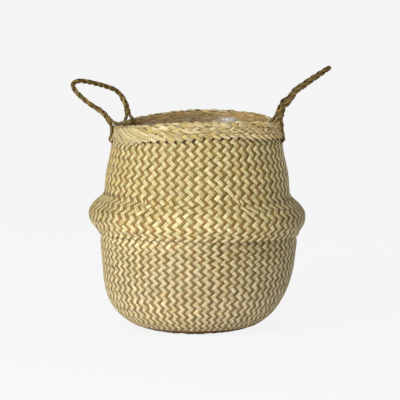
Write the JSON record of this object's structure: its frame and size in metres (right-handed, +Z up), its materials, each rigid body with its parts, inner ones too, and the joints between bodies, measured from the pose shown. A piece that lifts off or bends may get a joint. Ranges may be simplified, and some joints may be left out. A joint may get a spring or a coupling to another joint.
{
  "type": "belly basket",
  "caption": "Round plaited seagrass basket with a folded belly, a plaited rim, swinging rope handles and a clear film liner.",
  "frame": {"origin": "centre of the flat underside, on the floor and on the axis of the woven body", "axes": "+Z up through the mouth, -Y the front, one handle at -X and the other at +X"},
  "size_m": [0.4511, 0.379, 0.4649],
  "materials": {
    "woven_straw": "plaited seagrass in light and olive strips, matt",
    "rim_straw": "wide pale seagrass plaits, matt",
    "rope": "twisted olive seagrass rope, fibrous",
    "clear_film": "thin clear film, creased and glossy"
  },
  "bodies": {
    "lower": {"base": "woven_straw", "lower_wall": "woven_straw", "belly_flare": "woven_straw", "belly_shoulder": "woven_straw", "liner": "clear_film"},
    "upper": {"upper_wall": "woven_straw", "rim_band": "rim_straw", "left_handle_front_eye": "rope", "left_handle_back_eye": "rope", "right_handle_front_eye": "rope", "right_handle_back_eye": "rope"},
    "left_handle": {"left_handle_strand_1": "rope", "left_handle_strand_2": "rope"},
    "right_handle": {"right_handle_strand_1": "rope", "right_handle_strand_2": "rope"}
  },
  "joints": [
    {"name": "belly_collapse", "type": "slide", "parent": "lower", "child": "upper", "axis": [0, 0, -1], "range_m": [-0.015, 0.08], "deforming": ["belly_shoulder", "liner"]},
    {"name": "left_handle_swing", "type": "hinge", "parent": "upper", "child": "left_handle", "pos_m": [-0.14266, 0.02967, 0.38126], "axis": [0.3123, 0.946, 0.0868], "range_deg": [-90, 95]},
    {"name": "right_handle_swing", "type": "hinge", "parent": "upper", "child": "right_handle", "pos_m": [0.14754, 0.00515, 0.38572], "axis": [0.0349, -0.9994, 0], "range_deg": [-95, 100]}
  ]
}
